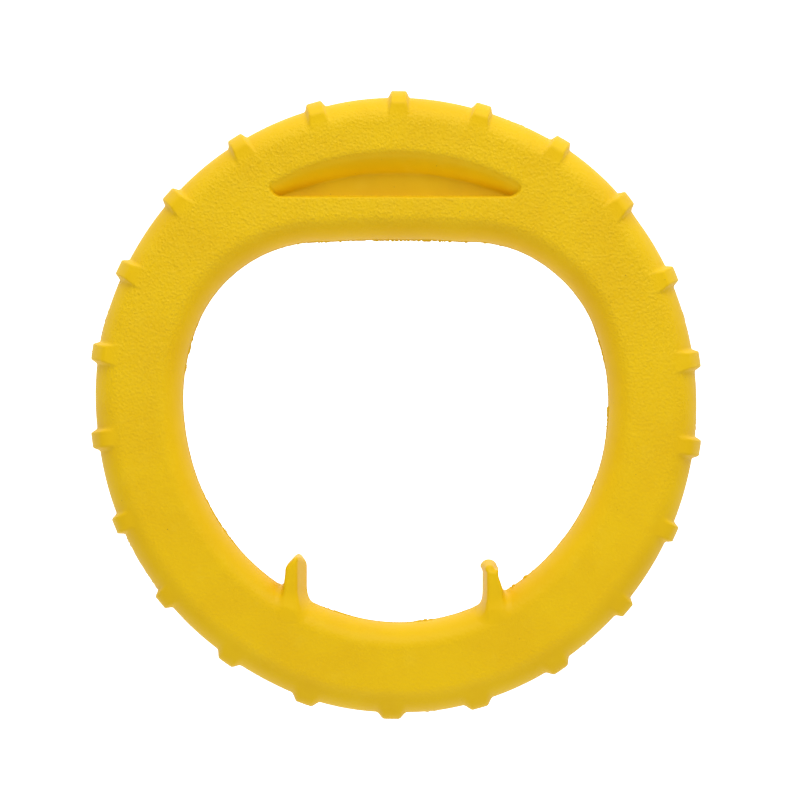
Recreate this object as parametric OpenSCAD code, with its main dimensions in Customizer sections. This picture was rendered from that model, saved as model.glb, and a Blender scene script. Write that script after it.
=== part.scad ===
// Hollow moulded juggling ring: two blown walls welded along the inner and outer edge,
// with grip ribs, a finger recess in the front wall and two prongs in the opening.
// The ring lies on its rear face, +Z is the front, +Y points at the finger recess.

/* [Ring] */
// Radius of the ring across its width, between the ribs
ring_r = 120.3; // [110:0.1:130]
// Height of the ring divided by its width
oval = 1.02; // [1:0.005:1.03]
// Thickness from the rear face to the front face
thick = 28; // [26:0.5:32]
// Thickness of the blown walls
wall = 1.6; // [1.4:0.1:2.2]
// Width of the rounded shoulder at the outer edge
outer_shoulder = 11; // [8:0.5:13]
// Width of the rounded shoulder at the opening
inner_shoulder = 9; // [7:0.5:10]

/* [Opening] */
// Radius of the round part of the opening
open_r = 85.2; // [82:0.2:88]
// Height of the flattened top of the opening above the centre
flat_h = 64; // [60:0.5:66]
// Radius of the corners between the flat top and the round part
corner_r = 50; // [44:1:54]

/* [Grip ribs] */
// Number of ribs round the outer edge
rib_count = 22; // [22]
// How far a rib stands out of the outer edge
rib_h = 2.6; // [1.5:0.1:3.5]
// Width of a rib at its top
rib_top_w = 7.4; // [6:0.2:8]
// Width of a rib at its foot
rib_foot_w = 9.8; // [9:0.2:11]
// How far the whole rib pattern is turned, in degrees
rib_turn = -0.7; // [-3:0.1:3]
// Height above the ring's centre of the point that the ribs radiate from
rib_centre = 2; // [0:0.5:3]

/* [Finger recess] */
// Depth of the recess below the front face
recess_d = 9; // [6:0.5:10]
// Height of the straight lower edge above the centre
recess_edge = 83.2; // [82:0.2:85]
// Radius of the curved upper edge about the centre
recess_arc = 102; // [100:0.5:103]
// Half the length of the straight lower edge
recess_half = 50; // [46:1:51]
// How far the sloped upper wall reaches in from the upper edge
recess_slope = 10; // [8:0.5:12]
// How far the lower wall leans as it goes down
recess_draft = 1.2; // [0.8:0.1:2]

/* [Prongs] */
// Distance of each prong's middle from the centre line
prong_x = 38.8; // [34:0.2:44]
// Distance of the left prong's tip below the centre
left_tip = 60.1; // [58:0.2:66]
// Distance of the right prong's tip below the centre
right_tip = 61.8; // [58:0.2:66]
// Half width of a prong along its shank
prong_half_w = 3.7; // [3:0.1:4.5]
// Half width of a prong where it meets the ring
prong_root_half_w = 6.6; // [5:0.2:8]

/* [Weld and plug] */
// Thickness of the pinched weld between the two walls
weld_t = 0.8; // [0.6:0.1:1.2]
// How far the trimmed fringe of the weld stands out
fringe = 0.5; // [0.3:0.1:1]
// Radius of the blow hole in the rear wall
hole_r = 2; // [1.5:0.1:3]
// Radius of the plug's inner head
plug_head_r = 3.2; // [2.6:0.1:4]

/* [Hidden] */

moulded_yellow = [0.92, 0.74, 0.13];
weld_yellow = [0.96, 0.80, 0.30];

mid_z = thick / 2;                 // height of the parting plane
shell_h = (thick - weld_t) / 2;    // height of one wall above the weld
pitch = 360 / rib_count;
top_turn = rib_top_w / 2 / ring_r * 180 / PI;
foot_turn = rib_foot_w / 2 / ring_r * 180 / PI;
shoulder_steps = 4;

corner_y = flat_h - corner_r;
corner_x = sqrt(pow(open_r - corner_r, 2) - pow(corner_y, 2));

hole_y = -103;                     // the blow hole lies opposite the recess
hole_chamfer = 0.4;

// ---- outlines, each in a round frame that at() stretches into the oval ----

function at(a, r, z) = [r * cos(a), oval * r * sin(a), z];

// Distance along direction a to the corner arc of the opening
function corner_reach(c, s) =
    let (along = c * corner_x + s * corner_y)
    along + sqrt(along * along - corner_x * corner_x - corner_y * corner_y + corner_r * corner_r);

function on_flat(c, s) = s > 0 && c * flat_h <= s * corner_x;
function on_corner(c, s) = s > 0 && s * corner_x > c * corner_y;

// Distance from the centre to the edge of the opening in direction a
function open_edge(a) =
    let (c = abs(cos(a)), s = sin(a))
    on_flat(c, s) ? flat_h / s : on_corner(c, s) ? corner_reach(c, s) : open_r;

// How much longer a width across the opening's edge is when taken along direction a
function lean(a) =
    let (c = abs(cos(a)), s = sin(a))
    on_flat(c, s) ? 1 / s
    : on_corner(c, s) ? corner_r / (corner_reach(c, s) - c * corner_x - s * corner_y)
    : 1;

// ---- stations round the ring: [direction, 1 on top of a rib and 0 beside it] ----

// Ribs beside the finger recess have more stations between them
recess_side = 0.5;                 // sine of the direction where the finer net starts
function gaps(a) = sin(a) > recess_side ? [for (g = [2 : 1.5 : 8]) g / 10] : [0.5];
// Direction of rib k, as seen from the centre of the ring
function rib_at(k) =
    let (b = 90 + rib_turn + k * pitch)
    b + asin(rib_centre * cos(b) / ring_r);
stations = [
    for (k = [0 : rib_count - 1])
        let (a = rib_at(k), free = rib_at(k + 1) - a - 2 * foot_turn)
        each concat(
            [[a - foot_turn, 0], [a - top_turn, 1], [a + top_turn, 1], [a + foot_turn, 0]],
            [for (g = gaps(a + pitch / 2)) [a + foot_turn + g * free, 0]]
        )
];

// ---- finger recess: [inner lip, inner foot, outer foot, outer lip] at direction a ----

// Length of one unit of the round frame in direction a
function stretch(a) = norm([cos(a), oval * sin(a)]);
function recess_low(a) = recess_edge / oval / sin(a);
function recess_room(a) = recess_arc / stretch(a) - recess_low(a);
recess_reach = 0.81;               // sine of the direction a little past the recess's ends
function near_recess(a) = sin(a) > recess_reach;
function recess_here(a) = near_recess(a) && recess_low(a) * abs(cos(a)) < recess_half;
// The floor rises where the sloped upper wall runs into the lower wall
function recess_depth(a) =
    recess_here(a) ? recess_d * min(1, (recess_room(a) - recess_draft) / recess_slope) : 0;

function recess_radii(a) =
    let (
        lip = recess_low(a),
        rim = lip + max(recess_room(a), 2 * recess_draft),
        foot = lip + min(recess_draft, (rim - lip) / 3)
    )
    [lip, foot, max(foot + recess_draft / 2, rim - recess_slope), rim];

face_shares = [0.25, 0.4, 0.6, 0.75];
function face_radii(a) =
    let (
        low = open_edge(a) + inner_shoulder * lean(a),
        high = ring_r - outer_shoulder
    )
    near_recess(a) ? recess_radii(a) : [for (g = face_shares) low + g * (high - low)];

// ---- wall sections: anticlockwise lists of [radius, height above the weld] ----

// One skin of the section at station s from the opening outwards, moved inwards by t,
// with the given points on the face
function skin(s, t, face) =
    let (a = s[0], h = shell_h - t, low = open_edge(a) + t * lean(a),
         high = ring_r - t, bulge = t > 0 ? 0 : s[1] * rib_h)
    concat(
        [for (k = [0 : shoulder_steps])
            let (p = 90 * k / shoulder_steps)
            [low + inner_shoulder * lean(a) * (1 - cos(p)), h * sin(p)]],
        face,
        [for (k = [shoulder_steps : -1 : 0])
            let (p = 90 * k / shoulder_steps)
            [high + bulge - (outer_shoulder + bulge) * (1 - cos(p)), h * sin(p)]]
    );

function reversed(v) = [for (k = [len(v) - 1 : -1 : 0]) v[k]];

// Closed section of the front wall, with the recess pressed into both skins
function front_section(s) =
    let (a = s[0], r = face_radii(a), d = recess_depth(a), w = d > 0 ? wall : 0,
         outside = [[r[0], shell_h], [r[1], shell_h - d], [r[2], shell_h - d], [r[3], shell_h]],
         inside = [[r[0] - w, shell_h - wall], [r[1] - w, shell_h - d - wall],
                   [r[2] + w, shell_h - d - wall], [r[3] + w, shell_h - wall]])
    concat(skin(s, wall, inside), reversed(skin(s, 0, outside)));

// Closed section of the rear wall
function rear_section(s) = concat(skin(s, wall, []), reversed(skin(s, 0, [])));

// Closed sections of the two welds, with a pointed fringe on the free side
function outer_weld_section(s) =
    let (edge = ring_r + s[1] * rib_h, inside = ring_r - wall)
    [[inside, -weld_t / 2], [edge, -weld_t / 2], [edge + fringe, 0],
     [edge, weld_t / 2], [inside, weld_t / 2]];
function inner_weld_section(s) =
    let (edge = open_edge(s[0]), inside = edge + wall * lean(s[0]))
    [[edge, -weld_t / 2], [inside, -weld_t / 2], [inside, weld_t / 2],
     [edge, weld_t / 2], [edge - fringe, 0]];

// Closed section of the solid inner edge of the ring, which the prongs are cut to
function edge_section(s) =
    let (front = [for (q = skin(s, 0, [])) if (q[0] < ring_r - 2 * outer_shoulder) q],
         back = open_edge(s[0]) + 2 * inner_shoulder)
    concat([[open_edge(s[0]) - fringe, 0]],
           [for (q = front) [q[0], -weld_t / 2 - q[1]]],
           [[back, -weld_t / 2 - shell_h], [back, weld_t / 2 + shell_h]],
           reversed([for (q = front) [q[0], weld_t / 2 + q[1]]]));

// ---- solids swept through sections ----

// Two triangles for each cell of a net of rows by cols points, closed round the columns
function net(rows, cols, closed, flip) = [
    for (i = [0 : rows - (closed ? 1 : 2)], j = [0 : cols - 1])
        let (a = i * cols + j, b = i * cols + (j + 1) % cols,
             c = (i + 1) % rows * cols + (j + 1) % cols, d = (i + 1) % rows * cols + j)
        each flip ? [[a, c, b], [a, d, c]] : [[a, b, c], [a, c, d]]
];

// Ring swept through one section at each station; up is 1 for front and -1 for rear
module swept_ring(sections, base, up) {
    cols = len(sections[0]);
    points = [
        for (i = [0 : len(stations) - 1])
            each [for (q = sections[i]) at(stations[i][0], q[0], base + up * q[1])]
    ];
    polyhedron(points, net(len(stations), cols, true, up < 0), convexity = 10);
}

// Closed bar through rows of points, with a fan over each end
module swept_bar(rows) {
    cols = len(rows[0]);
    last = (len(rows) - 1) * cols;
    sides = net(len(rows), cols, false, false);
    near = [for (j = [1 : cols - 2]) [0, j + 1, j]];
    far = [for (j = [1 : cols - 2]) [last, last + j, last + j + 1]];
    polyhedron([for (row = rows) each row], concat(sides, near, far), convexity = 6);
}

module front_shell() {
    color(moulded_yellow)
        swept_ring([for (s = stations) front_section(s)], mid_z + weld_t / 2, 1);
}

module blow_hole() {
    translate([0, hole_y, -1]) cylinder(h = wall + 2, r = hole_r, $fn = 48);
}

module rear_shell() {
    color(moulded_yellow)
        difference() {
            swept_ring([for (s = stations) rear_section(s)], mid_z - weld_t / 2, -1);
            blow_hole();
        }
}

module outer_weld() {
    color(weld_yellow) swept_ring([for (s = stations) outer_weld_section(s)], mid_z, 1);
}

module inner_weld() {
    color(weld_yellow) swept_ring([for (s = stations) inner_weld_section(s)], mid_z, 1);
}

// The stretch of the ring's solid inner edge between two directions
module edge_between(from, to) {
    near = [for (s = stations) if (s[0] > from && s[0] < to) s];
    swept_bar([for (s = near) [for (q = edge_section(s)) at(s[0], q[0], mid_z + q[1])]]);
}

// ---- prongs: fins as deep as the ring is thick, level with its two faces ----

prong_sides = 16;
prong_root_y = -92;                // the root ends inside the ring's edge
prong_edge_y = -78;                // where the shank leaves the ring
root_half_t = 13.4;
edge_half_t = 13;
shank_half_t = 12.4;
tip_round = 3.6;                   // how far the rounded end reaches along the prong
round_steps = 4;
flare_len = 3;                     // length of the flare above and below the ring's edge
edge_flare = 1.3;                  // extra half width where the shank leaves the ring
shank_flare = 0.3;                 // extra half width where the flare ends
squareness = 0.7;                  // 1 for an oval section, less for a squarer one
left_thinner = 0.5;                // the left tip is worn narrower
prong_dir = asin(prong_x / open_r);
edge_span = 27;                    // directions to each side of a prong that its cut covers

// One level of a prong: a rounded oblong in x and z at height y
function level(x, y, half_w, half_t) = [
    for (k = [0 : prong_sides - 1])
        let (p = 360 * k / prong_sides,
             c = sign(cos(p)) * pow(abs(cos(p)), squareness),
             s = sign(sin(p)) * pow(abs(sin(p)), squareness))
        [x + half_w * c, y, mid_z + half_t * s]
];

// Flared root, straight shank and rounded tip
function prong_rows(x, tip_y, tip_half_w) =
    concat(
        [level(x, prong_root_y, prong_root_half_w, root_half_t),
         level(x, prong_edge_y - flare_len, prong_root_half_w, root_half_t),
         level(x, prong_edge_y, prong_half_w + edge_flare, edge_half_t),
         level(x, prong_edge_y + flare_len, prong_half_w + shank_flare, shank_half_t)],
        [for (k = [0 : round_steps])
            let (p = 90 * k / round_steps, fade = max(cos(p), 0.25))
            level(x, tip_y - tip_round * (1 - sin(p)),
                  tip_half_w * fade, shank_half_t - tip_round * (1 - cos(p)))]
    );

module prong(x, tip_y, tip_half_w, direction) {
    color(moulded_yellow)
        difference() {
            swept_bar(prong_rows(x, tip_y, tip_half_w));
            edge_between(direction - edge_span, direction + edge_span);
        }
}

module left_prong() {
    prong(-prong_x, -left_tip, prong_half_w - left_thinner, 270 - prong_dir);
}

module right_prong() { prong(prong_x, -right_tip, prong_half_w, 270 + prong_dir); }

// ---- plug of the blow hole: flush stem with a wider head inside the hollow ----

module blow_plug() {
    color(weld_yellow)
        translate([0, hole_y, 0])
            rotate_extrude($fn = 48)
                polygon([
                    [0, hole_chamfer / 2],
                    [hole_r - hole_chamfer, hole_chamfer / 2],
                    [hole_r, hole_chamfer * 1.5],
                    [hole_r, wall],
                    [plug_head_r, wall],
                    [plug_head_r * 0.8, wall + 1.2],
                    [0, wall + 1.6]
                ]);
}

front_shell();
rear_shell();
outer_weld();
inner_weld();
left_prong();
right_prong();
blow_plug();
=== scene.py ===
# %% [markdown]
# # A hollow moulded juggling ring
#
# The ring is a hose of hot yellow plastic that was closed between two mould halves, pinched
# flat round the outside and round the opening, and blown up like a balloon. So it has a front
# wall and a rear wall, two thin pinched welds where they meet, two prongs that grow out of the
# lower edge of the opening, and a plug in the hole that the air came through.
#
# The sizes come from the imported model, so the looks always fit the part.

# %% Load the fixed frame
import math

import bpy
import bmesh
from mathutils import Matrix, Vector
from mathutils.bvhtree import BVHTree


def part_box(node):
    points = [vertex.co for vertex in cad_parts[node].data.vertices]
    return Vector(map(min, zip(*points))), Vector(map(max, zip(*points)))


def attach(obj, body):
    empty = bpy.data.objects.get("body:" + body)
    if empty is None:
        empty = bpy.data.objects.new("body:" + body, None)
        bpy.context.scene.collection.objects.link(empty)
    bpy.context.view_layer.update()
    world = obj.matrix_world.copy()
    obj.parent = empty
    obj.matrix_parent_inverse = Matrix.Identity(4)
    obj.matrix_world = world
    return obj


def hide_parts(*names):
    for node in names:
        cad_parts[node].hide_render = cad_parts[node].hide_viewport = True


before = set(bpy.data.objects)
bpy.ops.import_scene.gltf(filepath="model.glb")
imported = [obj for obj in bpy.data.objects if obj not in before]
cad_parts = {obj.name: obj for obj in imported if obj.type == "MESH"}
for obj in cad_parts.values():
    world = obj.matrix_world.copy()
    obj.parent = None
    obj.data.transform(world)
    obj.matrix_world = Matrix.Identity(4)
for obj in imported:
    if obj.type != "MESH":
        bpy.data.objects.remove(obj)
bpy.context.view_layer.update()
MM = 0.001
print("pieces of the part:", ", ".join(sorted(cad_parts)))

# %% [markdown]
# ## Sizes
#
# Every length below is either read from the part or is one of the ring's own driving sizes.
# The outline is a circle stretched a little in height. The opening is a smaller circle whose
# top is cut flat, with a large radius at each corner.

# %% Sizes of the ring
_, front_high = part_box("front_shell")
weld_low, weld_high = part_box("outer_weld")

THICK = front_high.z
WELD_T = weld_high.z - weld_low.z
MID_Z = (weld_low.z + weld_high.z) / 2
WALL_H = front_high.z - weld_high.z
RIB_H = 2.6 * MM
OVAL = 1.02
RING_R = front_high.y / OVAL - RIB_H
OPEN_R = 85.2 * MM
FLAT_H = 64 * MM
CORNER_R = 54 * MM
OUTER_SHOULDER = 11 * MM
INNER_SHOULDER = 9 * MM
WALL_T = 1.6 * MM
RIBS = 22
RIB_TURN = math.radians(-0.7)
RIB_CENTRE = 2 * MM
PRONG_X = {"left": -39.55 * MM, "right": 37.95 * MM}
plug_low, plug_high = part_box("blow_plug")
PLUG_Y = (plug_low.y + plug_high.y) / 2
PLUG_R = (plug_high.x - plug_low.x) / 2
print(f"ring radius {RING_R / MM:.1f} mm, thickness {THICK / MM:.1f} mm, weld {WELD_T / MM:.1f} mm")

# %% [markdown]
# ## Writing node maths as sums
#
# Both the shapes and the finishes are node trees. A tree of Math nodes is hard to read, so one
# small class stands for a socket, and adding or multiplying two of them adds the Math node.
# `Wiring.node` makes any other node: first its settings, then its sockets.

# %% A socket that can be used in sums
class Value:
    """One output socket of a node tree, which can be written in sums."""

    def __init__(self, wiring, socket):
        self.wiring, self.socket = wiring, socket

    def maths(self, operation, *others):
        return self.wiring.maths(operation, self, *others)

    def __add__(self, other):
        return self.maths("ADD", other)

    def __mul__(self, other):
        return self.maths("MULTIPLY", other)

    def __sub__(self, other):
        return self.maths("SUBTRACT", other)

    def __truediv__(self, other):
        return self.maths("DIVIDE", other)

    def __rsub__(self, other):
        return self.wiring.maths("SUBTRACT", other, self)

    def __rtruediv__(self, other):
        return self.wiring.maths("DIVIDE", other, self)

    def __gt__(self, other):
        return self.maths("GREATER_THAN", other)

    def __lt__(self, other):
        return self.maths("LESS_THAN", other)

    __radd__ = __add__
    __rmul__ = __mul__


class Wiring:
    """A node tree with one method that adds any node."""

    def __init__(self, tree):
        self.tree = tree

    def node(self, kind, settings=None, sockets=None, out=0):
        made = self.tree.nodes.new(kind)
        for name, value in (settings or {}).items():
            setattr(made, name, value)
        for name, value in (sockets or {}).items():
            if isinstance(value, Value):
                self.tree.links.new(value.socket, made.inputs[name])
            else:
                made.inputs[name].default_value = value
        return None if out is None else Value(self, made.outputs[out])

    def maths(self, operation, *values):
        return self.node("ShaderNodeMath", {"operation": operation}, dict(enumerate(values)))

    def least(self, a, b):
        return self.maths("MINIMUM", a, b)

    def most(self, a, b):
        return self.maths("MAXIMUM", a, b)

    def root(self, a):
        return self.maths("SQRT", a)

    def length(self, a, b):
        return self.root(a * a + b * b)

    def between(self, value, low, high):
        """0 at low and 1 at high, straight in between."""
        return self.node("ShaderNodeMapRange", {"clamp": True},
                         {"Value": value, "From Min": low, "From Max": high}, "Result")

    def ease(self, value, low, high):
        """0 at low and 1 at high, with a soft start and end."""
        return self.node("ShaderNodeMapRange", {"interpolation_type": "SMOOTHSTEP"},
                         {"Value": value, "From Min": low, "From Max": high}, "Result")

    def soft_least(self, a, b, radius):
        """The smaller of two depths, rounded over where they are about equal."""
        near = self.most(radius - self.maths("ABSOLUTE", a - b), 0.0) / radius
        return self.least(a, b) - near * near * (radius * 0.25)

    def pick(self, share, zero, one):
        """zero where share is 0 and one where share is 1."""
        return zero + (one - zero) * share


print("sums of sockets are ready")

# %% [markdown]
# ## Running a shape tree
#
# A Geometry Nodes tree works on a holder object. Each size is a named input of the tree, and
# the modifier stores it under the socket's identifier. The result is copied to a plain mesh,
# so that the finished piece carries no modifier.

# %% Shape trees and plain meshes
def new_shape_tree(name, inputs):
    """A shape tree with these named inputs: (wiring, {name: Value}, function that ends it)."""
    tree = bpy.data.node_groups.new(name, "GeometryNodeTree")
    for label, (kind, value) in inputs.items():
        socket = tree.interface.new_socket(label, in_out="INPUT", socket_type=f"NodeSocket{kind}")
        if value is not None:
            socket.default_value = value
    tree.interface.new_socket("Geometry", in_out="OUTPUT", socket_type="NodeSocketGeometry")
    wiring = Wiring(tree)
    entry = tree.nodes.new("NodeGroupInput")
    size = {label: Value(wiring, entry.outputs[label]) for label in inputs}

    def finish(shape):
        whole = wiring.node("GeometryNodeRealizeInstances", sockets={"Geometry": shape})
        painted = wiring.node("GeometryNodeSetMaterial",
                              sockets={"Geometry": whole, "Material": size["Material"]})
        wiring.node("NodeGroupOutput", sockets={"Geometry": painted}, out=None)

    return wiring, size, finish


def grow(tree, name, settings):
    """Runs a shape tree with these settings and returns the result as a plain mesh object."""
    holder = bpy.data.objects.new(name, bpy.data.meshes.new(name))
    bpy.context.scene.collection.objects.link(holder)
    modifier = holder.modifiers.new("shape", "NODES")
    modifier.node_group = tree
    for item in tree.interface.items_tree:
        if item.item_type == "SOCKET" and item.in_out == "INPUT" and item.name in settings:
            modifier[item.identifier] = settings[item.name]
    graph = bpy.context.evaluated_depsgraph_get()
    mesh = bpy.data.meshes.new_from_object(
        holder.evaluated_get(graph), preserve_all_data_layers=True, depsgraph=graph)
    holder.modifiers.remove(modifier)
    holder.data = mesh
    mesh.name = name
    triangles = sum(len(face.vertices) - 2 for face in mesh.polygons)
    print(f"{name}: {len(mesh.vertices)} points, {triangles} triangles")
    return holder


# %% [markdown]
# ## The outline
#
# The walls and the welds share one outline, so it is written once and added to each tree. In
# direction `angle` the opening's edge is a flat line, a corner arc or the round part. A width
# across the edge has to grow where the direction is not square to it: that factor is `lean`.
#
# The real outline is not perfect, because it is trimmed by hand. A slow wobble draws it in by up
# to half a millimetre. The lower left is cut closer, a web was left between two ribs at the upper
# right, two stretches were left a little full, and the flat top of the opening is crowned.
# Round the ring, points are set closer together at the flanks of the ribs.

# %% Outline shared by walls and welds
OUTLINE_INPUTS = {
    "Ring radius": ("Float", RING_R),
    "Oval": ("Float", OVAL),
    "Opening radius": ("Float", OPEN_R),
    "Flat height": ("Float", FLAT_H),
    "Corner radius": ("Float", CORNER_R),
    "Rib height": ("Float", RIB_H),
    "Rib count": ("Float", float(RIBS)),
    "Rib turn": ("Float", RIB_TURN),
    "Rib centre": ("Float", RIB_CENTRE),
    "Wobble": ("Float", 0.6 * MM),
    "Seed": ("Float", 7.0),
    "Material": ("Material", None),
}
# Half the width of a rib at its top and at its foot. Low down the foot is wider.
RIB_TOP = 2.7 * MM
RIB_FOOT = 4.6 * MM
LOW_RIB_FLARE = 1.5 * MM
LOW_RIBS = (-0.55, -0.92)
UNTRIMMED = 0.4 * MM
# Direction in degrees, its cosines where a change starts and is full, and how far it goes out
OUTER_TRIMS = [(214, 0.68, 0.98, -1.3 * MM), (49, 0.975, 0.999, 0.9 * MM),
               (288, 0.955, 0.99, 0.45 * MM), (44, 0.92, 0.955, 0.45 * MM)]
OPENING_TRIMS = [(220, 0.60, 0.95, -1.1 * MM)]
CROWN = 0.8 * MM
CROWNED = (0.91, 0.99)
FLAT_TOP = (0.9, 0.99)
OUTER_WAVES, OPENING_WAVES = 2.6, 2.2
OPENING_INWARDS = 0.3
OPENING_SEED = 4.0
DENSER, DENSER_FLANKS = 0.80, 0.125
# Smallest divisors, so that no sum divides by zero
LEAST_RISE, LEAST_REACH = 0.1, 0.01


def add_outline(w, size, turn):
    """Adds the outline for a turn from 0 to 1: a dictionary of direction, edges and rib."""
    full = turn * math.tau
    count = size["Rib count"]

    def rib_direction(direction):
        """The direction as seen from the point that the ribs radiate from."""
        aside = w.maths("COSINE", direction) * size["Rib centre"] / size["Ring radius"]
        return direction - aside - size["Rib turn"] - math.pi / 2

    ribs_turn = rib_direction(full) * count
    closer = w.maths("SINE", ribs_turn) * DENSER
    closer = closer - w.maths("SINE", ribs_turn * 2.0) * DENSER_FLANKS
    angle = full - closer / count
    across, up = w.maths("COSINE", angle), w.maths("SINE", angle)
    side = w.maths("ABSOLUTE", across)

    radius, flat, corner = size["Opening radius"], size["Flat height"], size["Corner radius"]
    corner_y = flat - corner
    corner_x = w.root((radius - corner) * (radius - corner) - corner_y * corner_y)
    along = side * corner_x + up * corner_y
    inside = along * along - corner_x * corner_x - corner_y * corner_y + corner * corner
    reach = along + w.root(w.most(inside, 0.0))
    rise = w.most(up, LEAST_RISE)
    on_corner = up * corner_x > side * corner_y
    on_flat = up * corner_x > side * flat
    edge = w.pick(on_flat, w.pick(on_corner, radius, reach), flat / rise)
    lean_corner = corner / w.most(reach - along, LEAST_REACH)
    lean = w.pick(on_flat, w.pick(on_corner, 1.0, lean_corner), 1.0 / rise)

    def wobble(slow, offset):
        spot = w.node("ShaderNodeCombineXYZ",
                      sockets={"X": across * slow, "Y": up * slow, "Z": size["Seed"] + offset})
        return w.node("ShaderNodeTexNoise", {"noise_dimensions": "3D"},
                      {"Vector": spot, "Scale": 1.0, "Detail": 1.0}, "Fac")

    share = rib_direction(angle) * count / math.tau
    off = w.maths("ABSOLUTE", share - w.maths("ROUND", share)) * math.tau / count
    rib_off = off * size["Ring radius"]
    foot = w.ease(up, *LOW_RIBS) * LOW_RIB_FLARE + RIB_FOOT
    rib = 1.0 - w.ease(rib_off, RIB_TOP, foot)

    def trimmed(radius, trims):
        for degrees, start, end, by in trims:
            direction = math.radians(degrees)
            towards = across * math.cos(direction) + up * math.sin(direction)
            radius = radius + w.ease(towards, start, end) * by
        return radius

    outer = size["Ring radius"] + UNTRIMMED - size["Wobble"] * wobble(OUTER_WAVES, 0.0)
    outer = trimmed(outer, OUTER_TRIMS)
    edge = trimmed(edge, OPENING_TRIMS) + w.ease(up, *CROWNED) * CROWN
    inwards = size["Wobble"] * (wobble(OPENING_WAVES, OPENING_SEED) - OPENING_INWARDS)
    edge = edge + inwards * (1.0 - w.ease(up, *FLAT_TOP))
    return {"across": across, "up": up, "side": side, "angle": angle, "edge": edge, "lean": lean,
            "outer": outer, "rib": rib}


def place(w, size, line, radius, height):
    """The point at this radius and height in the outline's direction."""
    return w.node("ShaderNodeCombineXYZ", sockets={
        "X": line["across"] * radius, "Y": line["up"] * radius * size["Oval"], "Z": height})


print("the outline has", RIBS, "ribs and an opening", round(2 * OPEN_R / MM), "mm wide")

# %% [markdown]
# ## The finger recess
#
# The recess is a crescent pressed into the front wall. Its lower edge is straight and its wall
# there is steep. Its upper edge follows the ring, and the wall there rolls over from the face
# and gets steeper until it meets the floor. The floor's own upper edge is a flatter arc, so the
# rolled wall is widest in the middle and narrow at the two ends. The floor rises a little
# towards the straight lip, because the hot plastic was stretched most on the far side.

# %% Depth of the recess at any point of the face
RECESS_D = 9 * MM
RECESS_EDGE = 82.3 * MM
RECESS_ARC = 102 * MM
RECESS_HALF = 49.3 * MM
END_ROUND = 4.5 * MM
LIP_STEEPNESS = 10.0
LIP_ROUND = 1.3 * MM
LIP_QUARTER = 0.995
RIM_SOFT = 0.58
ROLL_QUARTER = 0.93
ROLL_SHARE = 0.35
FLOOR_FILLET = 1.6 * MM
FLOOR_TOP = 92.2 * MM
FLOOR_HALF = 46.8 * MM
FLOOR_RISE = 1.4 * MM
END_RISE = 0.3
RISING_ENDS = (0.66 * RECESS_HALF, 0.98 * RECESS_HALF)
FLOOR_SAGITTA = FLOOR_TOP - RECESS_EDGE
FLOOR_ARC = (FLOOR_HALF ** 2 + FLOOR_SAGITTA ** 2) / (2 * FLOOR_SAGITTA)


def add_recess(w, x, y, depth, grown):
    """Depth of the recess at (x, y), for the recess grown outwards by a distance."""
    from_edge = END_ROUND - (y - RECESS_EDGE) - grown
    from_end = END_ROUND - (RECESS_HALF - w.maths("ABSOLUTE", x)) - grown
    outside = w.length(w.most(from_edge, 0.0), w.most(from_end, 0.0))
    wall_off = END_ROUND - outside - w.least(w.most(from_edge, from_end), 0.0)
    onset = w.between(wall_off, -LIP_ROUND, 0.0) * LIP_QUARTER
    lip = (1.0 - w.root(1.0 - onset * onset)) * LIP_ROUND
    lower = lip + w.most(wall_off, 0.0) * LIP_STEEPNESS
    from_rim = RECESS_ARC + grown - w.length(x, y)
    past_floor = w.most(w.length(x, y - (FLOOR_TOP - FLOOR_ARC)) - FLOOR_ARC - grown, 0.0)
    share = w.between(from_rim / w.most(from_rim + past_floor, 0.1 * MM), 0.0, 1.0)
    rolled = 1.0 - w.root(1.0 - share * share * ROLL_QUARTER * ROLL_QUARTER)
    rolled = rolled / (1 - math.sqrt(1 - ROLL_QUARTER ** 2))
    onset = w.least(share, RIM_SOFT)
    ramp = (onset * onset / (2 * RIM_SOFT) + share - onset) / (1 - RIM_SOFT / 2)
    rolled = rolled * ROLL_SHARE + ramp * (1 - ROLL_SHARE)
    floor = w.most(depth - (1.0 - w.between(y, RECESS_EDGE, FLOOR_TOP)) * FLOOR_RISE, 0.0)
    floor = floor * (1.0 - w.ease(w.maths("ABSOLUTE", x), *RISING_ENDS) * END_RISE)
    upper = rolled * floor * (from_rim > 0.0)
    deepest = w.soft_least(lower, upper, FLOOR_FILLET)
    return w.most(w.least(deepest, floor), 0.0)


print(f"the recess is {2 * RECESS_HALF / MM:.0f} mm long and {RECESS_D / MM:.0f} mm deep")

# %% [markdown]
# ## The two blown walls
#
# A wall could be modelled by hand with a subdivision surface, but its shape follows a rule, so
# a Geometry Nodes tree makes it. The tree starts from a flat grid. One side of the grid runs
# round the ring and the other runs through the section: up the shoulder at the opening, over
# the face, down the outer shoulder and back along the inside of the hollow. The first and last
# rows fall on each other and are merged, so the wall is one closed solid.
#
# The rows lie closer together where the recess has its lips, and the stations lie closer
# together at the ribs, because that is where the shape is fine. A constant that is a pair says
# where something starts and where it is full.

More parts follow.
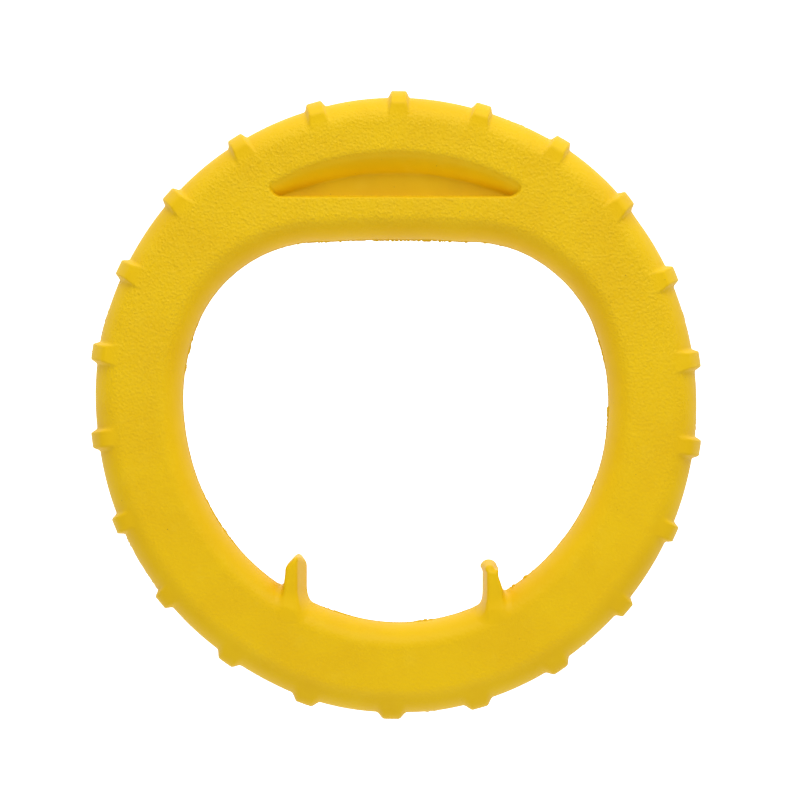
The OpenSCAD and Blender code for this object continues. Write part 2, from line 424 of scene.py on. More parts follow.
# %% The shape tree of a wall
SHOULDER_ROWS, OUTER_ROWS = 14, 20
FACE_STOPS = [0, 0.14, 0.40, 0.52, 0.88, 1]
BESIDE_RECESS = (0.79, 0.845)
BEFORE_LIP, AFTER_LIP = 1.2 * MM, 1.3 * MM
LEAST_FLOOR, ROLLED_WALL = 1.6 * MM, 11.5 * MM
LOW_DOWN = (0.35, -0.80)
RIB_FADE_HIGH, RIB_FADE_LOW = (-0.02, 0.26), (0.32, 0.80)
BLOWN_WAVES, BLOWN_WAVE_H = 42.0, 0.35 * MM
DIMPLE_EDGE = (2.1 * MM, 4.2 * MM)
GRAIN_INNER, GRAIN_OUTER = (0.45, 0.95), (0.10, 0.55)
GRAIN_RECESS, GRAIN_RIB = (0.1 * MM, 0.9 * MM), (0.0, 0.3)
GRAIN_HIGHER_UP = (-0.7, 0.45)
GRAIN_LOW_DOWN = 0.3
MERGE = 0.002 * MM


def wall_tree():
    inputs = dict(OUTLINE_INPUTS)
    inputs.update({
        "Stations": ("Int", 924),
        "Face rows": ("Int", 50),
        "Hollow rows": ("Int", 21),
        "Wall height": ("Float", WALL_H),
        "Wall thickness": ("Float", WALL_T),
        "Outer shoulder": ("Float", OUTER_SHOULDER),
        "Inner shoulder": ("Float", INNER_SHOULDER),
        "Base": ("Float", MID_Z),
        "Up": ("Float", 1.0),
        "Recess depth": ("Float", 0.0),
        "Plug dimple": ("Float", 0.0),
    })
    w, size, finish = new_shape_tree("blown wall", inputs)
    outer_rows = size["Face rows"] + (SHOULDER_ROWS + OUTER_ROWS)
    rows = outer_rows + 1.0 + size["Hollow rows"]
    grid = w.node("GeometryNodeMeshGrid", sockets={
        "Size X": 1.0, "Size Y": 1.0, "Vertices X": rows + 1.0,
        "Vertices Y": size["Stations"] + 1.0}, out="Mesh")
    spot = w.node("GeometryNodeInputPosition")
    spot_x = w.node("ShaderNodeSeparateXYZ", sockets={"Vector": spot}, out="X")
    spot_y = Value(w, spot_x.socket.node.outputs["Y"])
    row = w.maths("ROUND", (spot_x + 0.5) * rows)
    row = row * (row < rows - 0.5)
    line = add_outline(w, size, spot_y + 0.5)

    # Where the row lies in the section: 0 at the opening's edge and 1 at the outer edge
    hollow = row > outer_rows + 0.5
    way_back = 1.0 - (row - outer_rows - 1.0) / (size["Hollow rows"] - 1.0)
    way = w.pick(hollow, row / outer_rows, way_back) * outer_rows
    inner = w.between(way, 0.0, float(SHOULDER_ROWS))
    face = w.between(way, float(SHOULDER_ROWS), size["Face rows"] + float(SHOULDER_ROWS))
    outer = w.between(way, size["Face rows"] + float(SHOULDER_ROWS), outer_rows)

    thickness = size["Wall thickness"] * hollow
    height = size["Wall height"] - thickness
    low = line["edge"] + thickness * line["lean"]
    high = line["outer"] - thickness
    shoulder_in = size["Inner shoulder"] * line["lean"]
    face_low = low + shoulder_in
    face_high = high - size["Outer shoulder"]

    # Radii of the face rows, drawn to the lips of the recess where there is one
    stretch = w.length(line["side"], line["up"] * size["Oval"])
    lip = RECESS_EDGE / (size["Oval"] * w.most(line["up"], 0.5)) - thickness
    rim = RECESS_ARC / stretch + thickness
    floor_end = w.most(lip + LEAST_FLOOR, rim - ROLLED_WALL)
    near = w.ease(line["up"], *BESIDE_RECESS) * (size["Recess depth"] > 0.0)
    marks = [face_low, lip - BEFORE_LIP, lip + AFTER_LIP, floor_end, rim + BEFORE_LIP, face_high]
    radius = face_low
    for k in range(5):
        share = w.between(face, FACE_STOPS[k], FACE_STOPS[k + 1])
        even = (face_high - face_low) * (FACE_STOPS[k + 1] - FACE_STOPS[k])
        radius = radius + share * w.pick(near, even, marks[k + 1] - marks[k])

    # Quarter ellipses for the two shoulders
    turn_in, turn_out = inner * (math.pi / 2), outer * (math.pi / 2)
    radius = radius - shoulder_in * w.maths("COSINE", turn_in)
    sine_out, cosine_out = w.maths("SINE", turn_out), w.maths("COSINE", turn_out)
    radius = radius + size["Outer shoulder"] * sine_out
    level = height * (w.maths("SINE", turn_in) - (1.0 - cosine_out))

    # Ribs stand out square to the outer shoulder and fade towards the face. Low down on the
    # front they fade sooner.
    lean_out, lean_up = sine_out / size["Outer shoulder"], cosine_out / size["Wall height"]
    whole = w.length(lean_out, lean_up)
    low_down = w.ease(line["up"], *LOW_DOWN) * (size["Up"] > 0.0)
    fade_start = w.pick(low_down, RIB_FADE_HIGH[0], RIB_FADE_LOW[0])
    fade_end = w.pick(low_down, RIB_FADE_HIGH[1], RIB_FADE_LOW[1])
    fade = w.ease(outer, fade_start, fade_end)
    bulge = size["Rib height"] * line["rib"] * fade * (1.0 - hollow)
    radius = radius + bulge * lean_out / whole
    level = w.least(level + bulge * lean_up / whole, height)

    # Recess, slow waviness of the blown face, and the dimple round the plug
    x, y = line["across"] * radius, line["up"] * radius * size["Oval"]
    sunk = add_recess(w, x, y, size["Recess depth"], thickness)
    wave_spot = w.node("ShaderNodeCombineXYZ", sockets={"X": x, "Y": y, "Z": size["Up"]})
    wave = w.node("ShaderNodeTexNoise", {"noise_dimensions": "3D"},
                  {"Vector": wave_spot, "Scale": BLOWN_WAVES, "Detail": 1.0}, "Fac")
    plug_off = w.length(x, y - PLUG_Y)
    dimple = size["Plug dimple"] * (1.0 - w.ease(plug_off, *DIMPLE_EDGE)) * (1.0 - hollow)
    on_face = inner * (1.0 - outer)
    level = level - sunk - wave * on_face * BLOWN_WAVE_H - dimple
    point = place(w, size, line, radius, size["Base"] + size["Up"] * level)

    # Where the moulded grain shows: on the face, not in the recess nor on ribs and shoulders
    grain = w.ease(inner, *GRAIN_INNER) * (1.0 - w.ease(outer, *GRAIN_OUTER))
    grain = grain * (1.0 - w.ease(sunk, *GRAIN_RECESS))
    grain = grain * (1.0 - line["rib"] * w.ease(outer, *GRAIN_RIB))
    higher_up = w.ease(line["up"], *GRAIN_HIGHER_UP)
    grain = grain * (higher_up * (1 - GRAIN_LOW_DOWN) + GRAIN_LOW_DOWN)
    noted = w.node("GeometryNodeStoreNamedAttribute", {"data_type": "FLOAT", "domain": "POINT"},
                   {"Geometry": grid, "Name": "grain", "Value": grain})
    moved = w.node("GeometryNodeSetPosition", sockets={"Geometry": noted, "Position": point})
    merged = w.node("GeometryNodeMergeByDistance", sockets={"Geometry": moved, "Distance": MERGE})
    turned = w.node("GeometryNodeFlipFaces", sockets={"Mesh": merged, "Selection": size["Up"] < 0.0})
    finish(w.node("GeometryNodeSetShadeSmooth", sockets={"Geometry": turned}))
    return w.tree


BLOWN_WALL = wall_tree()
print("the wall tree has", len(BLOWN_WALL.nodes), "nodes")

# %% [markdown]
# ## Finishes
#
# The whole ring is one batch of yellow plastic, coloured right through. The mould of the two
# walls was blasted, so their faces carry a fine leathery grain, while shoulders, ribs and the
# recess came out smooth. The grain is fainter low down, where the ring has been rubbed. A noise
# texture alone looks like dust, and a cell texture alone looks like tiles, so the grain mixes
# both and drives a Bump node. The attribute `grain`, which the wall tree stored, says where it
# shows.
#
# Colour changes very little on such plastic: broad faint mottling, paler rubbed patches, and a
# few dark specks of burnt plastic. The pinched welds get painted shade: a faint brown tint that
# stands in for the shade along their thin lip. Roughness changes more, from handling. The scales
# below say how many features lie along a metre.

# %% One plastic for all the pieces
YELLOW = (0.84, 0.535, 0.002, 1)
DEEP_YELLOW = (0.80, 0.49, 0.002, 1)
RUBBED_YELLOW = (0.86, 0.58, 0.022, 1)
SPECK_BROWN = (0.16, 0.085, 0.02, 1)
# Painted shade: the brown that the welds are tinted towards, for the shade along their lip
WELD_SHADE_BROWN = (0.42, 0.25, 0.03, 1)
MOTTLING, RUBBING, HANDLING = 34.0, 95.0, 60.0
SPECK_CELLS, SPECK_GROUPS = 300.0, 520.0
PITS, CURLS = 840.0, 980.0
MOTTLED, RUBBED = (0.30, 0.70), (0.52, 0.74)
SPECK_CORE, SPECKED = (0.055, 0.10), (0.60, 0.66)
# The first pair says where the painted shade on the welds shows, following the mottling noise
WELD_SHADE_SPREAD, CREST = (0.2, 0.5), (0.35, 0.60)
RUBBED_SHARE, CREST_SHARE = 0.22, 0.25
CURL_H, PIT_H = 0.75, 0.45
SMOOTHEST = 0.07
HANDLED, ROUGHER = 0.16, 0.05
GLOSS, REFRACTION = 0.15, 1.49


def texture(w, kind, where, scale, **more):
    sockets = {"Vector": where, "Scale": scale}
    sockets.update({name.capitalize(): value for name, value in more.items()})
    out = "Distance" if kind == "Voronoi" else "Fac"
    return w.node(f"ShaderNodeTex{kind}", sockets=sockets, out=out)


def tint(w, share, zero, one):
    """A colour between two: zero where the share is 0 and one where it is 1."""
    return w.node("ShaderNodeMix", {"data_type": "RGBA"}, {"Factor": share, 6: zero, 7: one}, 2)


def plastic(name, grain_depth, rough, speck_share=0.5, weld_shade_paint=0.0, follow_grain=False):
    """A yellow plastic finish with this depth of grain, in metres, and this roughness."""
    material = bpy.data.materials.new(name)
    material.use_nodes = True
    material.node_tree.nodes.clear()
    w = Wiring(material.node_tree)
    where = w.node("ShaderNodeTexCoord", out="Object")

    mottling = texture(w, "Noise", where, MOTTLING, detail=3.0, roughness=0.6)
    rubbing = texture(w, "Noise", where, RUBBING, detail=4.0, roughness=0.65)
    rubbing = w.ease(rubbing, *RUBBED)
    cells = texture(w, "Voronoi", where, SPECK_CELLS)
    groups = texture(w, "Noise", where, SPECK_GROUPS, detail=2.0)
    speck = (1.0 - w.ease(cells, *SPECK_CORE)) * w.ease(groups, *SPECKED) * speck_share
    colour = tint(w, w.ease(mottling, *MOTTLED), DEEP_YELLOW, YELLOW)
    colour = tint(w, rubbing * RUBBED_SHARE, colour, RUBBED_YELLOW)
    # Painted shade on the welds: a faint brown tint for the shade along their thin lip
    if weld_shade_paint:
        colour = tint(w, w.ease(mottling, *WELD_SHADE_SPREAD) * weld_shade_paint, colour, WELD_SHADE_BROWN)

    pits = texture(w, "Voronoi", where, PITS)
    curls = texture(w, "Noise", where, CURLS, detail=2.5, roughness=0.55)
    height = curls * CURL_H + pits * PIT_H
    if follow_grain:
        amount = w.node("ShaderNodeAttribute", {"attribute_name": "grain"}, out="Fac")
        crest = w.ease(curls, *CREST) * amount * CREST_SHARE
        colour = tint(w, crest, colour, RUBBED_YELLOW)
        height = height * (amount * (1 - SMOOTHEST) + SMOOTHEST)
    colour = tint(w, speck, colour, SPECK_BROWN)
    handling = texture(w, "Noise", where, HANDLING, detail=5.0, roughness=0.7)
    roughness = rough + (handling - 0.5) * HANDLED + rubbing * ROUGHER
    bump = w.node("ShaderNodeBump", sockets={
        "Height": height, "Distance": grain_depth, "Strength": 1.0}, out="Normal")
    shader = w.node("ShaderNodeBsdfPrincipled", sockets={
        "Base Color": colour, "Roughness": roughness, "Normal": bump,
        "Specular IOR Level": GLOSS, "IOR": REFRACTION})
    w.node("ShaderNodeOutputMaterial", sockets={"Surface": shader}, out=None)
    print(f"{name}: grain {grain_depth / MM:.2f} mm deep")
    return material


grained_shell = plastic("grained shell plastic", 0.56 * MM, 0.46, follow_grain=True)
smooth_plastic = plastic("smooth moulded plastic", 0.03 * MM, 0.40)
# The weld finish carries painted shade, a faint brown tint for the shade along the lip
weld_plastic = plastic("trimmed weld plastic", 0.10 * MM, 0.55, speck_share=0.2, weld_shade_paint=0.12)
plug_plastic = plastic("plug plastic", 0.05 * MM, 0.50)

# %% [markdown]
# ## Growing the walls
#
# The same tree makes both walls. The front one has the recess and needs more rows. The rear
# one is plain and is turned over, so its base is the lower side of the weld.

# %% Grow the two walls
def declare(piece, node):
    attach(piece, "root")
    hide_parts(node)
    return piece


front_wall = grow(BLOWN_WALL, "front_wall", {
    "Base": MID_Z + WELD_T / 2, "Recess depth": RECESS_D, "Material": grained_shell})
rear_wall = grow(BLOWN_WALL, "rear_wall", {
    "Base": MID_Z - WELD_T / 2, "Up": -1.0, "Face rows": 18, "Hollow rows": 14,
    "Plug dimple": 0.7 * MM, "Material": grained_shell})
declare(front_wall, "front_shell")
declare(rear_wall, "rear_shell")

# %% [markdown]
# ## The two pinched welds
#
# Where the mould pinched the hose, the two walls were squeezed into one thin line. The waste
# was torn and cut off by hand, which left a ragged lip: short steps, a few tenths of a
# millimetre high. A tree makes the lip with white noise on short cells of uneven length, and a
# slow noise says where the trimming was clean.

# %% The shape tree of a weld
WELD_DEPTH = 2.2 * MM
WELD_SIDES = 8
WELD_SQUEEZE = 1.05
UNEVEN_CELLS = 9.0
TEARING_WAVES, TORN = 2.3, (0.52, 0.66)
TORN_TOP = (0.80, 0.90)
STEP_UP, STEP_DOWN = (0.0, 0.3), (0.8, 1.0)
TORN_STEP, CLEAN_STEP = 0.85, 0.12
TORN_LIP, CLEAN_LIP = 0.12, 0.25
FLAT_SIDE = 0.9
LAST_STATION = 0.9999


def weld_tree():
    inputs = dict(OUTLINE_INPUTS)
    inputs.update({
        "Stations": ("Int", 1760),
        "Outwards": ("Float", 1.0),
        "Fringe": ("Float", 0.5 * MM),
        "Step count": ("Float", 420.0),
        "Ragged top": ("Float", 0.0),
    })
    w, size, finish = new_shape_tree("pinched weld", inputs)
    grid = w.node("GeometryNodeMeshGrid", sockets={
        "Size X": 1.0, "Size Y": 1.0, "Vertices X": WELD_SIDES + 1,
        "Vertices Y": size["Stations"] + 1.0}, out="Mesh")
    spot = w.node("GeometryNodeInputPosition")
    spot_x = w.node("ShaderNodeSeparateXYZ", sockets={"Vector": spot}, out="X")
    spot_y = Value(w, spot_x.socket.node.outputs["Y"])
    way_round = spot_y + 0.5
    line = add_outline(w, size, way_round * (way_round < LAST_STATION))
    outwards = size["Outwards"] > 0.0
    rim = w.pick(outwards, line["edge"], line["outer"] + size["Rib height"] * line["rib"])

    # Steps of the torn lip
    uneven = w.node("ShaderNodeTexNoise", {"noise_dimensions": "1D"},
                    {"W": line["angle"] * UNEVEN_CELLS, "Scale": 1.0, "Detail": 0.0}, "Fac")
    cell = line["angle"] * size["Step count"] / math.tau + uneven * UNEVEN_CELLS
    step = w.node("ShaderNodeTexWhiteNoise", {"noise_dimensions": "1D"},
                  {"W": w.maths("FLOOR", cell) + size["Seed"]}, "Value")
    into = w.maths("FRACT", cell)
    step = step * w.ease(into, *STEP_UP) * (1.0 - w.ease(into, *STEP_DOWN))
    slow = w.node("ShaderNodeTexNoise", {"noise_dimensions": "1D"},
                  {"W": line["angle"] * TEARING_WAVES + size["Seed"], "Scale": 1.0, "Detail": 2.0},
                  "Fac")
    torn = w.most(w.ease(slow, *TORN), w.ease(line["up"], *TORN_TOP) * size["Ragged top"])
    steps = step * (torn * TORN_STEP + CLEAN_STEP)
    lip = size["Fringe"] * (steps + torn * TORN_LIP + CLEAN_LIP)

    # A flat section with rounded lips: eight corners round a thin bar
    corner = w.maths("ROUND", (spot_x + 0.5) * WELD_SIDES)
    turn = (corner * (corner < WELD_SIDES - 0.5) + 0.5) * (math.tau / WELD_SIDES)
    side = w.maths("COSINE", turn)
    reach = w.between(side, -FLAT_SIDE, FLAT_SIDE)
    lean = w.pick(outwards, line["lean"], 1.0)
    spread = lip + WELD_DEPTH * lean
    radius = rim + size["Outwards"] * (lip - spread * (1.0 - reach))
    level = w.maths("SINE", turn) * (WELD_T * 0.5 * WELD_SQUEEZE)
    point = place(w, size, line, radius, level + MID_Z)
    moved = w.node("GeometryNodeSetPosition", sockets={"Geometry": grid, "Position": point})
    merged = w.node("GeometryNodeMergeByDistance", sockets={"Geometry": moved, "Distance": MERGE})
    turned = w.node("GeometryNodeFlipFaces", sockets={"Mesh": merged, "Selection": outwards})
    finish(w.node("GeometryNodeSetShadeSmooth", sockets={"Geometry": turned}))
    return w.tree


PINCHED_WELD = weld_tree()

# %% Grow the two welds
outer_lip = grow(PINCHED_WELD, "outer_weld_lip", {
    "Fringe": 0.38 * MM, "Material": weld_plastic})
inner_lip = grow(PINCHED_WELD, "inner_weld_lip", {
    "Outwards": -1.0, "Fringe": 0.62 * MM, "Ragged top": 1.0, "Step count": 300.0,
    "Material": weld_plastic})
declare(outer_lip, "outer_weld")
declare(inner_lip, "inner_weld")

# %% [markdown]
# ## The two prongs
#
# Each prong is a fin as deep as the ring. It grows out of the lower shoulder of the opening, so
# there is no edge at its root: the fin swells into the wall. Modelling that swelling by hand is
# slow, and a boolean leaves a hard line. Instead the fin is written as a distance, the wall's
# skin gives another distance, and a smooth union of the two is the real surface. Rays are then
# walked outwards from the middle of the fin, each step as long as the distance, to meet it.
# Near the root the rays run along the wall, and further out they run straight across the fin.
#
# The left fin ends in a worn, slanted tip. The right one ends in a round cap that is a little
# wider than its shank at the weld and dies away towards the front and the rear. Both fins get
# narrower from the weld outwards, so that they come out of the mould, and flare at the root.

# %% Distance to a fin
EDGE_R = 1.1 * MM
CAP_LENGTH, CAP_EXTRA, CAP_LEAN, CAP_DRAFT = 3.6 * MM, 0.45 * MM, 0.6 * MM, 2.2 * MM
SLANT_X, SLANT_Y = 0.72, 0.69
SLANT_INSET, CORNER_INSET = 0.05 * MM, 1.20 * MM
INNER_FLARE_FROM, OUTER_FLARE_FROM, FLARE_LENGTH = 12 * MM, 5 * MM, 7 * MM
TIP_FROM, TIP_LENGTH = 6.5 * MM, 5.5 * MM
SWELL_FROM, SWELL_LENGTH, SHANK_INSET = 13 * MM, 12 * MM, 1.0 * MM
SINK_FROM, SINK_LENGTH, SINK_DEPTH = 80 * MM, 13 * MM, 7 * MM
TIP_PROUD = 0.15 * MM
CREASE, TIP_SOFT, TIP_BLEND = 0.1 * MM, 1.0 * MM, 1.2 * MM
CAP_SOFT, NECK_SOFT = 2.0 * MM, 1.6 * MM


def smooth(t):
    t = min(max(t, 0.0), 1.0)
    return t * t * (3 - 2 * t)


def soft_least(a, b, radius):
    near = max(radius - abs(a - b), 0) / radius
    return min(a, b) - near * near * radius / 4


def soft_most(a, b, radius):
    return -soft_least(-a, -b, radius)


class Fin:
    """One prong, as a distance in metres from any point. Its inner side faces the other prong."""

    def __init__(self, node, centre, half_w, drafts, flares, tip_edge, capped):
        low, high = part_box(node)
        self.centre, self.inwards = centre, -math.copysign(1, centre)
        self.tip = high.y + TIP_PROUD
        self.half_w, self.tip_edge, self.capped = half_w, tip_edge, capped
        self.inner_draft, self.outer_draft = drafts
        self.inner_flare, self.outer_flare = flares
        self.half_t = min(MID_Z - low.z, high.z - MID_Z)

    def outline(self, x, y, up_share):
        """Distance from the outline seen from the front. y is 0 at the tip."""
        inner = x * self.inwards + self.inner_draft * up_share
        inner -= self.inner_flare * smooth((-y - INNER_FLARE_FROM) / FLARE_LENGTH)
        outer = -x * self.inwards + self.outer_draft * up_share
        outer -= self.outer_flare * smooth((-y - OUTER_FLARE_FROM) / FLARE_LENGTH)
        sides = soft_most(inner, outer, CREASE) - self.half_w
        if self.capped:
            cap_r = self.half_w + CAP_EXTRA
            cap = math.hypot(x - CAP_LEAN * self.inwards, y + cap_r) - cap_r
            cap = soft_most(cap + CAP_DRAFT * up_share, -y - CAP_LENGTH, CAP_SOFT)
            return soft_least(max(sides, y + cap_r), cap, NECK_SOFT)
        slant = SLANT_X * -x + SLANT_Y * y - SLANT_INSET
        corner = SLANT_X * x + SLANT_Y * y - CORNER_INSET
        tip = soft_most(corner, y, TIP_SOFT)
        return soft_most(soft_most(sides, slant, TIP_SOFT), tip, TIP_BLEND)

    def distance(self, point):
        x, y = point.x - self.centre, point.y - self.tip
        up = abs(point.z - MID_Z)
        flat = self.outline(x, y, up / self.half_t)
        tip_share = smooth((y + TIP_FROM) / TIP_LENGTH)
        edge_r = EDGE_R + (self.tip_edge - EDGE_R) * tip_share
        swell = smooth((-y - SWELL_FROM) / SWELL_LENGTH)
        sink = smooth((-point.y - SINK_FROM) / SINK_LENGTH) * SINK_DEPTH
        deep = up - (self.half_t - SHANK_INSET * (1 - swell)) + sink
        a, b = flat + edge_r, deep + edge_r
        return math.hypot(max(a, 0), max(b, 0)) + min(max(a, b), 0) - edge_r


left_fin = Fin("left_prong", PRONG_X["left"], 4.25 * MM, (3.9 * MM, 0.4 * MM),
               (0.7 * MM, 0.6 * MM), 1.6 * MM, False)
right_fin = Fin("right_prong", PRONG_X["right"], 3.1 * MM, (1.6 * MM, 0.3 * MM),
                (0.4 * MM, 1.7 * MM), 3.3 * MM, True)
print(f"fins at x = {left_fin.centre / MM:.1f} and {right_fin.centre / MM:.1f} mm")

# %% Distance to the walls near a fin
NEAR_X, FARTHEST, SKIN_FACING = 22 * MM, 112 * MM, 0.05


def wall_skin(walls, centre):
    """A search tree over the outside of the walls near a fin, without the hollow's faces."""
    points, faces = [], []
    for wall, up in walls:
        mesh = wall.data
        near = {}
        for face in mesh.polygons:
            spot = face.center
            away = math.hypot(spot.x, spot.y)
            if abs(spot.x - centre) > NEAR_X or spot.y > 0 or away > FARTHEST:
                continue
            outwards = (face.normal.x * spot.x + face.normal.y * spot.y) / away
            if face.normal.z * up - outwards < SKIN_FACING:
                continue
            corners = []
            for v in face.vertices:
                if v not in near:
                    near[v] = len(points)
                    points.append(mesh.vertices[v].co)
                corners.append(near[v])
            faces.append(corners)
    print(f"skin near x = {centre / MM:.0f} mm: {len(faces)} faces")
    return BVHTree.FromPolygons(points, faces)


def skin_distance(skin, point):
    nearest, normal, _, away = skin.find_nearest(point)
    return away if (point - nearest).dot(normal) > 0 else -away


# %% [markdown]
# ## Closing a stack of rings
#
# The prongs and the plug are both stacks of rings of points. Spin or Bridge tools could join the
# rings, but then the ends stay open. This helper joins each ring to the next with four-sided
# faces, closes the two ends with a point, and turns all faces outwards.

# %% Close a stack of rings
def closed_piece(name, rings, ends, material):
    """A smooth closed piece through rings of points, with one more point over each end."""
    shape = bmesh.new()
    rings = [[shape.verts.new(spot) for spot in ring] for ring in rings]
    for below, above in zip(rings, rings[1:]):
        for j in range(len(below)):
            shape.faces.new((below[j - 1], below[j], above[j], above[j - 1]))
    for ring, spot in ((rings[0], ends[0]), (rings[-1], ends[1])):
        pole = shape.verts.new(spot)
        for j in range(len(ring)):
            shape.faces.new((ring[j - 1], ring[j], pole))
    bmesh.ops.recalc_face_normals(shape, faces=shape.faces)
    for face in shape.faces:
        face.smooth = True
    mesh = bpy.data.meshes.new(name)
    shape.to_mesh(mesh)
    shape.free()
    mesh.materials.append(material)
    piece = bpy.data.objects.new(name, mesh)
    bpy.context.scene.collection.objects.link(piece)
    print(f"{name}: {len(mesh.polygons)} faces")
    return piece


# %% [markdown]
# ## Walking the rays
#
# Each ray starts inside the fin. The distance at a point says how far the ray can go without
# leaving the shape, so a few dozen steps reach the surface. Rays near the root would never meet
# a surface, because the wall goes on sideways, so they stop at a limit, a little under the skin.

# %% Walk rays out to the smooth union
SUNK = 0.06 * MM
FILLET, FILLET_EXTRA, FILLET_OVER = 3.2, 1.4, 11 * MM
REACH_X, REACH_Y, REACH_Z = 12 * MM, 5.5 * MM, 15 * MM
FAR_X = 15 * MM
AROUND, SHANK_RINGS, TIP_RINGS = 132, 72, 24
ROOT_Y, NECK_UP = -95 * MM, 0.3 * MM
TILT_END, TILT_SPAN = -66 * MM, 12 * MM
STEPS, STEP_SHARE, CLOSE_ENOUGH = 120, 0.92, 0.004 * MM
LOWEST, BELOW_TOP = 0.1 * MM, 0.05 * MM


def build_fin(name, fin, walls):
    skin = wall_skin(walls, fin.centre)

    def distance(point):
        fillet = (FILLET + FILLET_EXTRA * smooth(abs(point.z - MID_Z) / FILLET_OVER)) * MM
        return soft_least(skin_distance(skin, point) + SUNK, fin.distance(point), fillet)

    def walk_out(origin, reach):
        share, length = 0.0, reach.length
        limit = FAR_X / max(math.hypot(reach.x, reach.y), 1 * MM)
        for _ in range(STEPS):
            gap = -distance(origin + reach * share)
            share += STEP_SHARE * gap / length
            if gap < CLOSE_ENOUGH or share > limit:
                break
        spot = origin + reach * min(share, limit)
        spot.z = min(max(spot.z, LOWEST), THICK - BELOW_TOP)
        return spot

    neck = fin.tip - REACH_Y + NECK_UP
    along_wall = math.asin(fin.centre / OPEN_R)
    rings = []
    for k in range(SHANK_RINGS + TIP_RINGS):
        lift = max(0, k - SHANK_RINGS) / TIP_RINGS * math.pi / 2
        y = ROOT_Y + (neck - ROOT_Y) * min(k / SHANK_RINGS, 1)
        tilt = along_wall * smooth((TILT_END - y) / TILT_SPAN)
        ring = []
        for j in range(AROUND):
            turn = j * math.tau / AROUND
            aside = REACH_X * math.cos(turn) * math.cos(lift)
            ahead = aside * math.sin(tilt) + REACH_Y * math.sin(lift)
            upwards = REACH_Z * math.sin(turn) * math.cos(lift)
            reach = Vector((aside * math.cos(tilt), ahead, upwards))
            ring.append(walk_out(Vector((fin.centre, y, MID_Z)), reach))
        rings.append(ring)
    root = Vector((fin.centre, ROOT_Y, MID_Z))
    tip = walk_out(Vector((fin.centre, neck, MID_Z)), Vector((0, REACH_Y, 0)))
    return closed_piece(name, rings, (root, tip), smooth_plastic)


both_walls = [(front_wall, 1.0), (rear_wall, -1.0)]
left_prong = build_fin("left_prong_fin", left_fin, both_walls)
right_prong = build_fin("right_prong_fin", right_fin, both_walls)
declare(left_prong, "left_prong")
declare(right_prong, "right_prong")

# %% [markdown]
# ## The plug of the blow hole
#
# Air went into the mould through a hole in the rear wall. A small plug of the same plastic was
# spun into it until it melted fast. It is turned: a low dome with the mark of the spinning tool
# in its middle, sitting in the sunk edge of the hole. A turned shape needs only its profile.

# %% Turn the plug
DOME_STEPS, PLUG_SIDES, PLUG_TOP = 20, 64, 2.7 * MM
DENT_R, DENT_EDGE = 0.16, 0.22
DOME_LOW, DENT_H, RIM_H = 0.18, 0.55, 0.75


def dome_height(share):
    """Height of the plug's outside above the floor, from its middle at 0 to its edge at 1."""
    dent = 1 - smooth((share - DENT_R) / DENT_EDGE)
    return (DOME_LOW + DENT_H * dent + RIM_H * share ** 6) * MM


def turned_ring(centre, radius, z):
    turns = [k * math.tau / PLUG_SIDES for k in range(PLUG_SIDES)]
    return [(centre.x + radius * math.cos(turn), centre.y + radius * math.sin(turn), z)
            for turn in turns]


plug_centre = Vector((0, PLUG_Y, 0))
profile = [(PLUG_R * k / DOME_STEPS, dome_height(k / DOME_STEPS)) for k in range(1, DOME_STEPS + 1)]
profile += [(PLUG_R, 1.6 * MM), (PLUG_R * 0.98, 2.4 * MM), (PLUG_R * 0.9, PLUG_TOP)]
plug_ends = ((0, PLUG_Y, dome_height(0)), (0, PLUG_Y, PLUG_TOP))
plug_rings = [turned_ring(plug_centre, radius, z) for radius, z in profile]
spun_plug = closed_piece("spun_plug", plug_rings, plug_ends, plug_plastic)
declare(spun_plug, "blow_plug")
print(f"plug: {2 * PLUG_R / MM:.1f} mm wide at y = {PLUG_Y / MM:.0f} mm")

# %% [markdown]
# ## Floor, light and camera
#
# The ring lies on a pale table in a bright room. A long soft box stands low beyond its top edge,
# so every slope that faces it is a little brighter, and a weaker one hangs over the lower edge.
# The table is over-exposed, as it is in a catalogue picture, so its shadows are almost lost. It
# also glows a little by itself, which lights the sides of the ring from below.

# %% Floor
FLOOR_GLOW = 1.9
GLOW_SHARE = 0.32
CLOTH_WHITE = (0.85, 0.85, 0.85, 1)
TABLE_HALF, TABLE_BELOW = 3.0, 0.0003


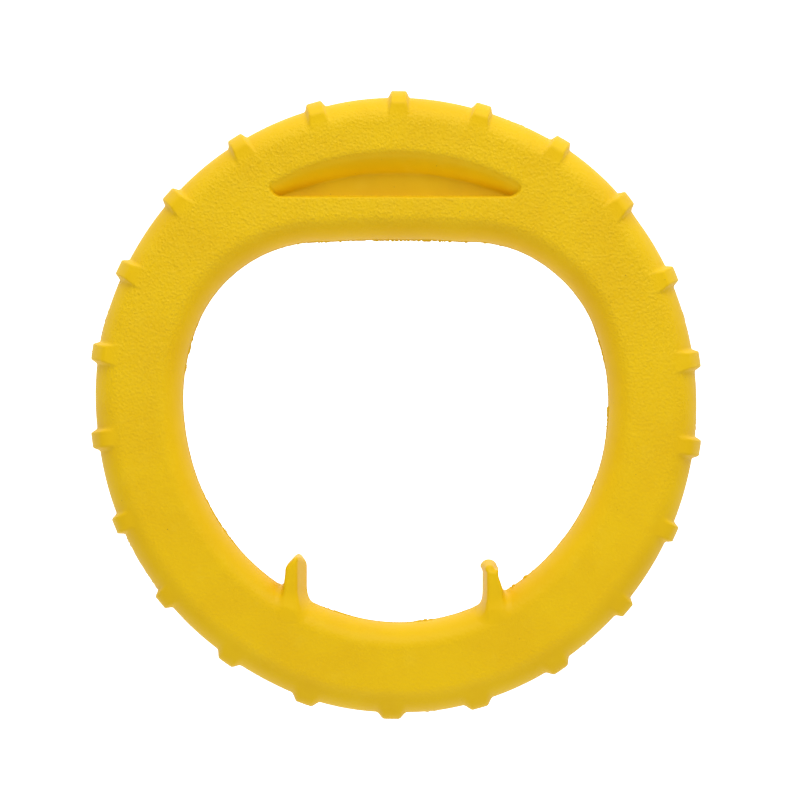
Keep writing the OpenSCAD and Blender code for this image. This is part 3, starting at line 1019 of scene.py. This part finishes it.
def pale_floor():
    material = bpy.data.materials.new("pale table")
    material.use_nodes = True
    material.node_tree.nodes.clear()
    w = Wiring(material.node_tree)
    cloth = w.node("ShaderNodeBsdfDiffuse", sockets={"Color": CLOTH_WHITE})
    glow = w.node("ShaderNodeEmission", sockets={"Color": (1, 1, 1, 1), "Strength": FLOOR_GLOW})
    seen = w.node("ShaderNodeLightPath", out="Is Camera Ray")
    share = seen * (1 - GLOW_SHARE) + GLOW_SHARE
    mixed = w.node("ShaderNodeMixShader", sockets={0: share, 1: cloth, 2: glow})
    w.node("ShaderNodeOutputMaterial", sockets={"Surface": mixed}, out=None)
    mesh = bpy.data.meshes.new("table")
    corners = [(x * TABLE_HALF, y * TABLE_HALF, -TABLE_BELOW)
               for x, y in ((-1, -1), (1, -1), (1, 1), (-1, 1))]
    mesh.from_pydata(corners, [], [(0, 1, 2, 3)])
    mesh.materials.append(material)
    floor = bpy.data.objects.new("table", mesh)
    bpy.context.scene.collection.objects.link(floor)


pale_floor()
print(f"table: {2 * TABLE_HALF:.0f} m wide")

# %% Light
ROOM_LIGHT = 0.51


def soft_box(name, place, width, height, power):
    """A rectangular light at this place, aimed at the middle of the ring."""
    light = bpy.data.lights.new(name, "AREA")
    light.shape = "RECTANGLE"
    light.size, light.size_y, light.energy = width, height, power
    lamp = bpy.data.objects.new(name, light)
    lamp.location = place
    lamp.rotation_euler = (-Vector(place)).to_track_quat("-Z", "Y").to_euler()
    bpy.context.scene.collection.objects.link(lamp)
    print(f"{name}: {power} W")


soft_box("key", (0.12, 1.09, 0.66), 1.5, 0.9, 12.0)
soft_box("fill", (0.0, -1.12, 1.24), 1.8, 1.0, 7.7)
world = bpy.data.worlds.new("room")
bpy.context.scene.world = world
world.use_nodes = True
room = world.node_tree.nodes["Background"]
room.inputs["Color"].default_value = (1, 1, 1, 1)
room.inputs["Strength"].default_value = ROOM_LIGHT
bpy.context.scene.view_settings.view_transform = "Standard"

# %% [markdown]
# ## Camera
#
# The ring is seen from straight above, from so far that its sides hardly show.

# %% Camera
CAMERA_PLACE = (0.0019, 0.0020, 0.903)
LENS, SENSOR = 100, 36
camera_data = bpy.data.cameras.new("camera")
camera_data.lens, camera_data.sensor_width = LENS, SENSOR
camera = bpy.data.objects.new("camera", camera_data)
camera.location = CAMERA_PLACE
bpy.context.scene.collection.objects.link(camera)
bpy.context.scene.camera = camera
print(f"camera: {LENS} mm lens, {CAMERA_PLACE[2]:.3f} m above the table")
